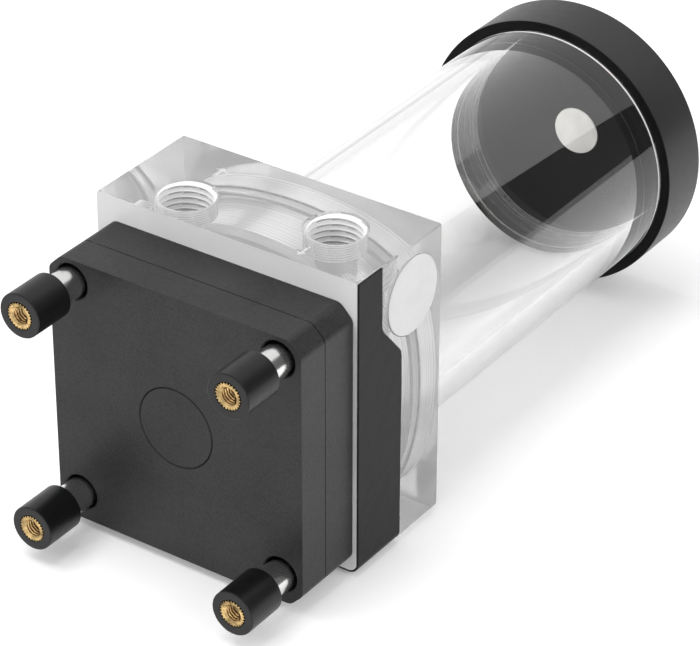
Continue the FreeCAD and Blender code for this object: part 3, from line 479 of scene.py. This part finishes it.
def combine(piece, tools, operation="DIFFERENCE", angle=SMOOTH_ANGLE):
    """Cuts or adds tools, one after another, and applies the result."""
    for tool in tools:
        change = piece.modifiers.new("combine", "BOOLEAN")
        change.operation = operation
        change.solver = "EXACT"
        change.object = tool
        change.material_mode = "TRANSFER"
        bpy.context.view_layer.update()
        graph = bpy.context.evaluated_depsgraph_get()
        mesh = bpy.data.meshes.new_from_object(piece.evaluated_get(graph))
        piece.modifiers.clear()
        old = piece.data
        piece.data = mesh
        bpy.data.meshes.remove(old)
        bpy.data.objects.remove(tool)
    smooth(piece, angle)
    return piece


def face_material(piece, material, test):
    """Gives another material to the faces whose centre, in millimetres, and normal pass a test."""
    piece.data.materials.append(material)
    slot = len(piece.data.materials) - 1
    for face in piece.data.polygons:
        if test(face.center / MM, face.normal):
            face.material_index = slot


def place_piece(piece, body, node):
    """Hands a finished piece to its body in place of a CAD node, which it hides."""
    even = piece.modifiers.new("even", "WEIGHTED_NORMAL")
    even.mode = "FACE_AREA_WITH_ANGLE"
    even.weight = 100
    even.keep_sharp = True
    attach(piece, body)
    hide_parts(node)


def make_seal(m, name, outline, edge, segments, body, slot, node):
    """A rubber ring: a square outline, well rounded."""
    place_piece(lathe(name, outline, m[slot], edge, segments, steps=6), body, node)


# Feet

def knurled_insert(name, x, y, m):
    """A brass insert: straight knurls outside, a countersunk mouth and a thread inside."""
    brass = m["insert_brass"]
    count = KNURLS * 4
    outline = []
    for index in range(count):
        a = 2 * math.pi * index / count
        radius = KNURL_OUT if index % 4 in (0, 1) else KNURL_IN
        outline.append((x + radius * math.cos(a), y + radius * math.sin(a)))
    body = prism(name, outline, 0.0, INSERT_DEPTH, brass, 0.05, 0.05)
    mouth = lathe(name + "_mouth", [(0, -0.5), (2.55, -0.5), (2.1, 0.0), (M4_CORE, 0.45), (0, 0.45)],
                  brass, segments=64, at=(x, y, 0))
    thread = thread_cutter(name + "_thread", M4_CORE, M4_CREST, M4_PITCH, -0.2, INSERT_DEPTH + 0.2, brass, 64, 10)
    thread.location = (x * MM, y * MM, 0)
    insert = combine(body, [mouth, thread], angle=26.0)
    middle = Vector((x, y))
    # Painted shade: a dark brown on the faces at the thread's root inside the insert.
    face_material(insert, m["insert_root"], lambda c, n: 1.82 < (c.xy - middle).length < 2.05 and c.z > 0.4)
    return insert


def make_feet(m):
    inserts = []
    for name, x, y in CORNERS:
        damper = lathe("foot_rubber_" + name,
                       [(3.05, 0.0), (5.0, 0.0), (5.0, FOOT_TOP), (2.0, FOOT_TOP), (2.0, 9.0), (3.4, 9.0),
                        (3.4, 7.8), (1.2, 7.8), (1.2, INSERT_DEPTH), (3.05, INSERT_DEPTH)],
                       m["rubber_black"], 0.28, 96, (x, y, 0), steps=4)
        place_piece(damper, "base", "damper_" + name)
        standoff = lathe("foot_spacer_" + name,
                         [(0.0, 15.05), (2.0, 15.05), (2.0, FOOT_TOP), (3.5, FOOT_TOP), (3.5, SEAM_Z),
                          (1.95, SEAM_Z), (1.95, 40.8), (0.0, 40.8)],
                         m["steel_bright"], 0.3, 96, (x, y, 0))
        place_piece(standoff, "base", "standoff_" + name)
        inserts.append(knurled_insert("foot_insert_" + name, x, y, m))
    for insert in inserts:
        place_piece(insert, "base", "damper_inserts")


# Pump shells

def shell_outline(inset=0.0):
    """The pump from above: a square with cut corners."""
    right = SHELL_X - inset
    front = -SHELL_FRONT - inset
    back = SHELL_BACK - inset
    cut = SHELL_CUT - (2 - math.sqrt(2)) * inset
    points = [(-right + cut, -front), (right - cut, -front), (right, -front + cut), (right, back - cut),
              (right - cut, back), (-right + cut, back), (-right, back - cut), (-right, -front + cut)]
    return rounded(points, 1.0, True, 5)


def make_cover(m):
    black = m["pump_black"]
    cover = prism("cover_shell", shell_outline(), COVER_Z, SEAM_Z, black, 0.7, SEAM_BEVEL)
    cavity = prism("cover_cavity", shell_outline(WALL), COVER_Z + 2.0, SEAM_Z + 1.0, black)
    cover = combine(cover, [cavity])
    collars = [cylinder("cover_collar", BOSS, COVER_Z + 1.0, SEAM_Z - 0.02, black, x, y) for _, x, y in CORNERS]
    cover = combine(cover, collars, "UNION")
    hole = [(0, COVER_Z - 1), (4.3, COVER_Z - 1), (4.3, COVER_Z), (4.0, COVER_Z + 0.3),
            (4.0, SEAM_Z + 1), (0, SEAM_Z + 1)]
    holes = [lathe("cover_hole", hole, black, segments=96, at=(x, y, 0)) for _, x, y in CORNERS]
    ring = lathe("cover_ring", [(8.9, COVER_Z - 0.2), (9.3, COVER_Z - 0.2), (9.3, COVER_Z + 0.1),
                                (9.1, COVER_Z + 0.3), (8.9, COVER_Z + 0.1)], black, segments=160)
    cover = combine(cover, holes + [ring])
    # Painted shade: the bevel's faces at the seam get the near-black, dull material, for the shadow in the groove
    # between the shells.
    face_material(cover, m["cap_rim"], lambda c, n: c.z > SEAM_Z - SEAM_BEVEL and 0.2 < n.z < 0.98)
    place_piece(cover, "base", "pump_bottom_cover")


def make_housing(m):
    black = m["pump_black"]
    housing = prism("housing_shell", shell_outline(), SEAM_Z, BLOCK_Z, black, SEAM_BEVEL, 0.15)
    cavity = prism("housing_cavity", shell_outline(WALL), SEAM_Z - 1.0, BLOCK_Z - WALL, black)
    housing = combine(housing, [cavity])
    pillars = [cylinder("housing_pillar", BOSS, SEAM_Z + 0.02, BLOCK_Z - 1.0, black, x, y) for _, x, y in CORNERS]
    seat = lathe("housing_seat", square_outline(20.2, 22.0, BLOCK_Z - 3.8, BLOCK_Z - 1.5), black)
    housing = combine(housing, pillars + [seat], "UNION")
    recess = cylinder("flange_recess", 26.05, BLOCK_Z - 1.0, BLOCK_Z + 1.0, black, segments=128)
    opening = cylinder("can_opening", 13.9, BLOCK_Z - 6.0, BLOCK_Z + 1.0, black, segments=96)
    screws = [cylinder("screw_hole", 2.05, SEAM_Z - 1.0, BLOCK_Z + 1.0, black, x, y, 48) for _, x, y in CORNERS]
    lead = cylinder("lead_hole", 2.65, -4.0, 4.0, black, segments=48, turn=TURN_TO_X)
    lead.location = (-SHELL_X * MM, 0, LEAD_Z * MM)
    housing = combine(housing, [recess, opening] + screws + [lead])
    # Painted shade: the bevel's faces at the seam get the near-black, dull material, for the shadow in the groove
    # between the shells.
    face_material(housing, m["cap_rim"], lambda c, n: c.z < SEAM_Z + SEAM_BEVEL and -0.98 < n.z < -0.2)
    place_piece(housing, "base", "pump_housing")


# Clear block and the sheet and badge on it

def yz_turn(z):
    """Takes X, Y, Z of a prism to Y, Z, X of the part, raised by z."""
    return Matrix(((0, 0, 1, 0), (1, 0, 0, 0), (0, 1, 0, z * MM), (0, 0, 0, 1)))


def bend_points(x, y, radius, steps=12):
    """Points round a bend whose corner would be at x, y, from the +Y side to the +X side."""
    points = []
    for step in range(steps + 1):
        a = math.pi / 2 * (1 - step / steps)
        points.append((x - radius + radius * math.cos(a), y - radius + radius * math.sin(a)))
    return points


def block_outline(steps=10):
    """The block from above: nearly sharp at the port face, rounder at the back."""
    ring = [Vector(spot) for spot in ((-HALF_X, FRONT_Y), (HALF_X, FRONT_Y), (HALF_X, BACK_Y), (-HALF_X, BACK_Y))]
    points = []
    for index, (spot, reach) in enumerate(zip(ring, (0.5, 0.5, 2.2, 2.2))):
        before = (ring[index - 1] - spot).normalized()
        after = (ring[(index + 1) % 4] - spot).normalized()
        centre = spot + (before + after) * reach
        for step in range(steps + 1):
            t = step / steps * math.pi / 2
            points.append(tuple(centre - after * reach * math.cos(t) - before * reach * math.sin(t)))
    return points


def step_line(gap):
    """The sheet's upper edge on the +X side, as y and height above the block's bottom."""
    low, high = SHEET_LOW - gap, SHEET_HIGH - gap
    return rounded([(FRONT_Y - 2, low), (FRONT_Y + STEP_START, low), (FRONT_Y + STEP_END, high),
                    (FRONT_Y + STEP_BEYOND, high)], 1.35, False, 8)


def sheet_recess(polished):
    """Cutters for the recess that the bent sheet lies in, at the back and on the +X side."""
    inner_x, inner_y = HALF_X - SHEET, BACK_Y - SHEET
    outline = [(HALF_X + 2, FRONT_Y + STEP_END), (HALF_X + 2, BACK_Y + 2), (-HALF_X - 2, BACK_Y + 2),
               (-HALF_X - 2, inner_y)]
    outline += bend_points(inner_x, inner_y, 2.0)
    outline += [(inner_x, FRONT_Y + STEP_END)]
    band = prism("recess_band", outline, BLOCK_Z - 1.0, BLOCK_Z + SHEET_HIGH, polished)
    side = [(FRONT_Y - 2, -1.0), (FRONT_Y + STEP_BEYOND, -1.0)] + list(reversed(step_line(0.0)))
    return [band, prism("recess_side", side, inner_x, HALF_X + 1.0, polished, turn=yz_turn(BLOCK_Z))]


def block_hollows(machined):
    """Cutters for the badge's seat and the hollows on the axis, from the pump's side up to the tube's seat."""
    badge = lathe("badge_seat", square_outline(0, 8.85, 0, 3.0), machined, segments=96,
                  at=(HALF_X - 1.2, BADGE_Y, BADGE_Z), turn=TURN_TO_X)
    volute = lathe("volute", [(0, BLOCK_Z - 1), (19.5, BLOCK_Z - 1), (19.5, BLOCK_Z + 5.6),
                              (18.9, BLOCK_Z + 6.2), (0, BLOCK_Z + 6.2)], machined, segments=160)
    groove = lathe("pump_groove", square_outline(22.3, 24.7, BLOCK_Z - 1, BLOCK_Z + 1.6), machined, segments=160)
    floor = BLOCK_Z + 9.7
    well = lathe("well", [(0, BLOCK_Z + 5), (7.0, BLOCK_Z + 5), (7.0, floor), (22.0, floor), (24.0, floor + 2.0),
                          (24.0, TOP_Z + 1), (0, TOP_Z + 1)], machined, segments=192)
    groove_floor = TUBE_LOW - 1.9
    seat = lathe("tube_seat", [(23.0, TUBE_LOW), (26.3, TUBE_LOW), (26.3, groove_floor), (28.9, groove_floor),
                               (28.9, TUBE_LOW), (30.1, TUBE_LOW), (30.1, TOP_Z - 0.3), (30.5, TOP_Z + 0.1),
                               (30.5, TOP_Z + 1), (23.0, TOP_Z + 1)], machined, segments=192)
    return [badge, volute, groove, well, seat]


def port_cutters(m, name, x, z, passage, reach, drop):
    """The tapped hole, its mouth and the passage behind it, along +Y from the port face."""
    machined = m["acrylic_machined"]
    thread = thread_cutter(name + "_thread", PORT_CORE, PORT_CREST, PORT_PITCH, -0.5, PORT_DEPTH,
                           m["acrylic_thread"])
    mouth = lathe(name + "_mouth", [(0, -1.0), (7.3, -1.0), (6.95, 0.0), (6.6, 0.3), (5.8, 0.4), (0, 0.4)],
                  m["acrylic_block"], segments=96)
    floor = lathe(name + "_floor", [(0, 10.2), (PORT_CORE, 10.2), (PORT_CORE, PORT_DEPTH), (0, 10.9)],
                  machined, segments=96)
    channel = cylinder(name + "_channel", passage, 9.5, reach, machined, segments=72)
    turn = Matrix.Rotation(math.radians(-90.0), 4, "X")
    tools = [thread, mouth, floor, channel]
    for tool in tools:
        shift = drop if tool is channel else 0.0
        tool.matrix_world = Matrix.Translation(Vector((x, FRONT_Y, z - shift)) * MM) @ turn
    return tools


def arrow_cutter(machined, x, z, sign):
    """A plain arrow in the port face: up for the way out, down for the way in."""
    points = ((-0.45, -2.2), (0.45, -2.2), (0.45, 0.4), (1.5, 0.4), (0.0, 2.2), (-1.5, 0.4), (-0.45, 0.4))
    turn = Matrix(((1, 0, 0, 0), (0, 0, -1, 0), (0, 1, 0, 0), (0, 0, 0, 1)))
    return prism("arrow", [(x + sign * px, z + sign * pz) for px, pz in points], -FRONT_Y - 0.3, -FRONT_Y + 1.0,
                 machined, turn=turn)


def make_block(m):
    polished, machined = m["acrylic_block"], m["acrylic_machined"]
    block = prism("clear_block", block_outline(), BLOCK_Z, TOP_Z, polished, 0.18, 0.18)
    tools = sheet_recess(polished) + block_hollows(machined)
    for port in PORTS:
        tools += port_cutters(m, *port)
    screw = [(0, BLOCK_Z - 1), (2.05, BLOCK_Z - 1), (2.05, BLOCK_Z + 7.2), (0, BLOCK_Z + 8.2)]
    tools += [lathe("screw_hole", screw, machined, segments=48, at=(x, y, 0)) for _, x, y in CORNERS]
    for x, z, sign in ((-16.7, BLOCK_Z + 20.8, 1), (16.1, BLOCK_Z + 4.5, -1)):
        tools.append(arrow_cutter(machined, x, z, sign))
    block = combine(block, tools, angle=30.0)

    def sawn(c, n):
        """The bottom, and the recess under the sheet."""
        bottom = n.z < -0.9 and c.z < BLOCK_Z + 0.05
        side = n.x > 0.9 and 31.0 < c.x < HALF_X - SHEET + 0.1
        back = n.y > 0.9 and 31.0 < c.y < BACK_Y - SHEET + 0.1
        return bottom or c.z < BLOCK_Z + SHEET_HIGH - 0.1 and (side or back)

    face_material(block, m["acrylic_sawn"], sawn)
    # Painted shade: a darker, less clear acrylic on the faces at the root of each port's thread.
    for _, x, z, *_ in PORTS:
        face_material(block, m["acrylic_root"], lambda c, n: FRONT_Y + 0.5 < c.y < FRONT_Y + PORT_DEPTH + 0.1 and
                      6.43 < math.hypot(c.x - x, c.z - z) < 6.6)
    place_piece(block, "base", "pump_top_block")


def make_side_cover(m):
    """The bent sheet, with its slanting step beside the badge."""
    black = m["cover_black"]
    start_y = FRONT_Y + 0.2
    inner_x, inner_y = HALF_X - SHEET + SHEET_GAP, BACK_Y - SHEET + SHEET_GAP
    outline = [(HALF_X, start_y)]
    outline += list(reversed(bend_points(HALF_X, BACK_Y, 2.5)))
    outline += [(-HALF_X, BACK_Y), (-HALF_X, inner_y)]
    outline += bend_points(inner_x, inner_y, 1.95)
    outline += [(inner_x, start_y)]
    cover = prism("side_cover_sheet", outline, BLOCK_Z, BLOCK_Z + SHEET_HIGH - SHEET_GAP, black)
    above = step_line(SHEET_GAP) + [(FRONT_Y + STEP_BEYOND, 18.0), (FRONT_Y - 2, 18.0)]
    step = prism("sheet_step", above, HALF_X - 3.0, HALF_X + 1.0, black, turn=yz_turn(BLOCK_Z))
    cover = combine(cover, [step])
    bevel = cover.modifiers.new("edge", "BEVEL")
    bevel.width = 0.12 * MM
    bevel.segments = 2
    bevel.limit_method = "ANGLE"
    bevel.angle_limit = math.radians(40.0)
    place_piece(cover, "base", "side_cover")


def make_badge(m):
    badge = lathe("side_badge_disc", square_outline(0, 8.75, 0, 1.3), m["badge_pale"], 0.3,
                  at=(HALF_X - 1.15, BADGE_Y, BADGE_Z), turn=TURN_TO_X)
    # Painted shade: the disc's edge and back get a dark grey, for the shadow of its seat's rim.
    face_material(badge, m["badge_rim"], lambda c, n: n.x < 0.55)
    place_piece(badge, "base", "side_badge")


# Tube, end cap and plug

def make_tube(m):
    """The tube, with bevelled ends inside and a narrow pale frosted band where it enters the cap, a painted
    highlight for the glint there.
    """
    glint_band_low, glint_band_high = 156.95, 157.35
    tube = lathe("clear_tube", [(26.2, TUBE_LOW), (TUBE_OUT, TUBE_LOW), (TUBE_OUT, glint_band_low), (TUBE_OUT, glint_band_high),
                                (TUBE_OUT, TUBE_HIGH), (26.2, TUBE_HIGH), (TUBE_IN, TUBE_HIGH - 1.2),
                                (TUBE_IN, TUBE_LOW + 1.2)], m["acrylic_clear"], 0.2, 192)
    face_material(tube, m["acrylic_end"], lambda c, n: c.z < TUBE_LOW + 1.2 or c.z > TUBE_HIGH - 1.25)
    # Painted highlight: a narrow pale frosted band round the tube just below the cap's rim.
    face_material(tube, m["acrylic_sawn"], lambda c, n: glint_band_low - 0.05 < c.z < glint_band_high + 0.05 and
                  c.xy.length > TUBE_OUT - 0.1)
    place_piece(tube, "base", "reservoir_tube")
    make_seal(m, "tube_seal_ring", square_outline(26.35, 28.85, 55.7, 57.55), 0.8, 160,
              "base", "seal_pale", "tube_seal")


def make_cap(m):
    """The cap. Its rim and its inside get a near-black, dull material that paints shade there, and it stays out of
    reflections, as the tube shows none of it.
    """
    cap = lathe("end_cap_turned",
                [(PORT_CORE, CAP_FLOOR), (27.0, CAP_FLOOR), (27.0, TUBE_HIGH), (30.1, TUBE_HIGH), (30.1, 163.0),
                 (31.45, 163.0), (31.45, 160.3), (30.1, 160.3), (30.1, CAP_Z), (32.5, CAP_Z), (32.5, CAP_TOP),
                 (PORT_CORE, CAP_TOP)],
                m["cap_black"], 0.32, 224, steps=4)
    # Painted shade: the rim's downward faces and the cap's inside get the near-black, dull material.
    face_material(cap, m["cap_rim"], lambda c, n: c.z < CAP_Z + 0.3 and n.z < -0.2 or
                  c.xy.length < 31.4 and c.z < CAP_FLOOR + 0.2)
    cap.visible_glossy = False
    place_piece(cap, "cap", "end_cap")
    make_seal(m, "cap_seal_ring", square_outline(30.03, 31.42, 160.35, 162.95), 0.6, 160,
              "cap", "seal_black", "cap_seal")


def make_plug(m):
    """The fill plug, with its hexagon socket and the groove for its seal under the head."""
    bright = m["plug_bright"]
    top = CAP_TOP + 2.6
    groove_top = 172.4
    flat = 3.0
    plug = lathe("fill_plug_turned",
                 [(0, CAP_FLOOR), (5.65, CAP_FLOOR), (5.65, CAP_TOP), (6.75, CAP_TOP), (6.75, groove_top),
                  (8.25, groove_top), (8.25, CAP_TOP), (8.9, CAP_TOP), (8.9, top), (0, top)], bright, 0.12)
    reach = flat * 2 / math.sqrt(3)
    corners = [(reach * math.cos(a), reach * math.sin(a)) for a in (math.radians(60 * i) for i in range(6))]
    socket = prism("hex_socket", corners, top - 3.6, top + 1.0, bright)
    mouth = lathe("hex_mouth", [(0, top - 0.5), (flat, top - 0.5), (3.7, top + 0.2), (3.7, top + 1), (0, top + 1)],
                  bright, segments=64)
    plug = combine(plug, [socket, mouth], angle=28.0)
    place_piece(plug, "plug", "fill_plug")
    make_seal(m, "plug_seal_ring", square_outline(6.8, 8.2, CAP_TOP, groove_top), 0.5, 96,
              "plug_lift", "seal_black", "fill_plug_seal")


def make_small_parts(m):
    """The pump's seal, the separating can and the lead's grommet."""
    make_seal(m, "pump_seal_ring", square_outline(22.35, 24.65, BLOCK_Z, 35.35), 0.7, 160,
              "base", "seal_black", "pump_seal")
    can = lathe("rotor_can_moulded",
                [(0, 19.8), (13.8, 19.8), (13.8, BLOCK_Z - 1.0), (26.0, BLOCK_Z - 1.0), (26.0, BLOCK_Z),
                 (13.0, BLOCK_Z), (13.0, 20.6), (3.4, 20.6), (3.4, 23.0), (1.525, 23.0), (1.525, 21.0), (0, 21.0)],
                m["can_black"], 0.15)
    place_piece(can, "base", "rotor_can")
    grommet = lathe("lead_grommet",
                    [(1.4, 1.0), (1.4, -3.2), (3.0, -3.2), (3.6, -2.7), (3.6, -2.2), (2.6, -2.2), (2.6, 0.0),
                     (3.6, 0.0), (3.6, 0.5), (3.0, 1.0)],
                    m["rubber_black"], 0.15, 64, (-SHELL_X, 0, LEAD_Z), Matrix.Rotation(math.radians(-90.0), 4, "Y"))
    place_piece(grommet, "base", "cable_grommet")


# Stage and lights, in metres

def one_sided(name, level):
    """A white surface that shows only from its front and takes the object's shadow."""
    material, n = new_material(name)
    back = n.add("ShaderNodeNewGeometry").outputs["Backfacing"]
    white = n.add("ShaderNodeBsdfDiffuse", {"Color": WHITE}).outputs[0]
    glow = n.add("ShaderNodeEmission", {"Color": WHITE, "Strength": level}).outputs[0]
    lit = n.add("ShaderNodeAddShader", {0: white, 1: glow}).outputs[0]
    clear = n.add("ShaderNodeBsdfTransparent").outputs[0]
    n.surface(n.add("ShaderNodeMixShader", {0: back, 1: lit, 2: clear}).outputs[0])
    return material


def stage_plane(name, corners, material):
    mesh = bpy.data.meshes.new(name)
    mesh.from_pydata(corners, [], [(0, 1, 2, 3)])
    mesh.materials.append(material)
    plane = new_object(name, mesh)
    plane.visible_shadow = False
    plane.visible_diffuse = False
    return plane


def make_stage():
    """A wall close behind the block, a floor under the feet, and a dark card for the tube to mirror."""
    white = one_sided("stage_white", 0.17)
    y = (BACK_Y + 0.6) * MM
    reach = 3.0
    square = ((-reach, -reach), (reach, -reach), (reach, reach), (-reach, reach))
    stage_plane("backdrop", [(one, y, two) for one, two in square], white)
    floor = stage_plane("floor", [(one, two, 0) for one, two in square], white)
    floor.visible_glossy = False
    dark, n = new_material("card_dark")
    n.surface(n.add("ShaderNodeBsdfDiffuse", {"Color": (0.16, 0.16, 0.16, 1.0)}).outputs[0])
    card = stage_plane("dark_card",
                       [(0.40, -0.9, 0.72), (0.40, 0.03, 0.72), (0.80, 0.03, 0.16), (0.80, -0.9, 0.16)], dark)
    card.visible_camera = False


def make_world():
    """White where it is seen, mirrored or looked at through the acrylic, and half as bright as a light."""
    world = bpy.data.worlds.new("studio")
    bpy.context.scene.world = world
    bpy.context.scene.view_settings.view_transform = "Standard"
    n = Nodes(world)
    path = n.add("ShaderNodeLightPath")
    seen = n.math("MAXIMUM", path.outputs["Is Camera Ray"], path.outputs["Is Transmission Ray"])
    level = n.math("MAXIMUM", n.math("MAXIMUM", seen, path.outputs["Is Glossy Ray"]), 0.5)
    background = n.add("ShaderNodeBackground", {"Color": WHITE, "Strength": level})
    output = n.add("ShaderNodeOutputWorld")
    n.tree.links.new(background.outputs[0], output.inputs["Surface"])


def area_lamp(name, spot, size, watts, through=False):
    """A square lamp aimed at the object. Only with through does it show in clear acrylic."""
    data = bpy.data.lights.new(name, "AREA")
    data.shape = "RECTANGLE"
    data.size = size
    data.size_y = size
    data.energy = watts
    lamp = new_object(name, data)
    direction = Vector((0.0, 0.0, 0.08)) - Vector(spot)
    lamp.matrix_world = Matrix.Translation(Vector(spot)) @ direction.to_track_quat("-Z", "Y").to_matrix().to_4x4()
    lamp.visible_camera = False
    lamp.visible_glossy = False
    lamp.visible_transmission = through


def make_lamps():
    area_lamp("top_softbox", (-0.16, -0.75, -0.05), 0.6, 3.5, True)
    area_lamp("side_softbox", (0.70, -0.25, 0.15), 0.6, 2.8)
    area_lamp("front_softbox", (-0.15, -0.35, -0.65), 0.5, 1.5, True)
    area_lamp("crown_softbox", (0.0, -0.2, 0.85), 0.7, 0.45)
    area_lamp("back_softbox", (-0.55, 0.45, 0.25), 0.6, 1.2)


make_camera()
materials = make_materials()
for make in (dress_cad_nodes, make_feet, make_cover, make_housing, make_block, make_side_cover, make_badge,
             make_tube, make_cap, make_plug, make_small_parts):
    make(materials)
make_stage()
make_world()
make_lamps()
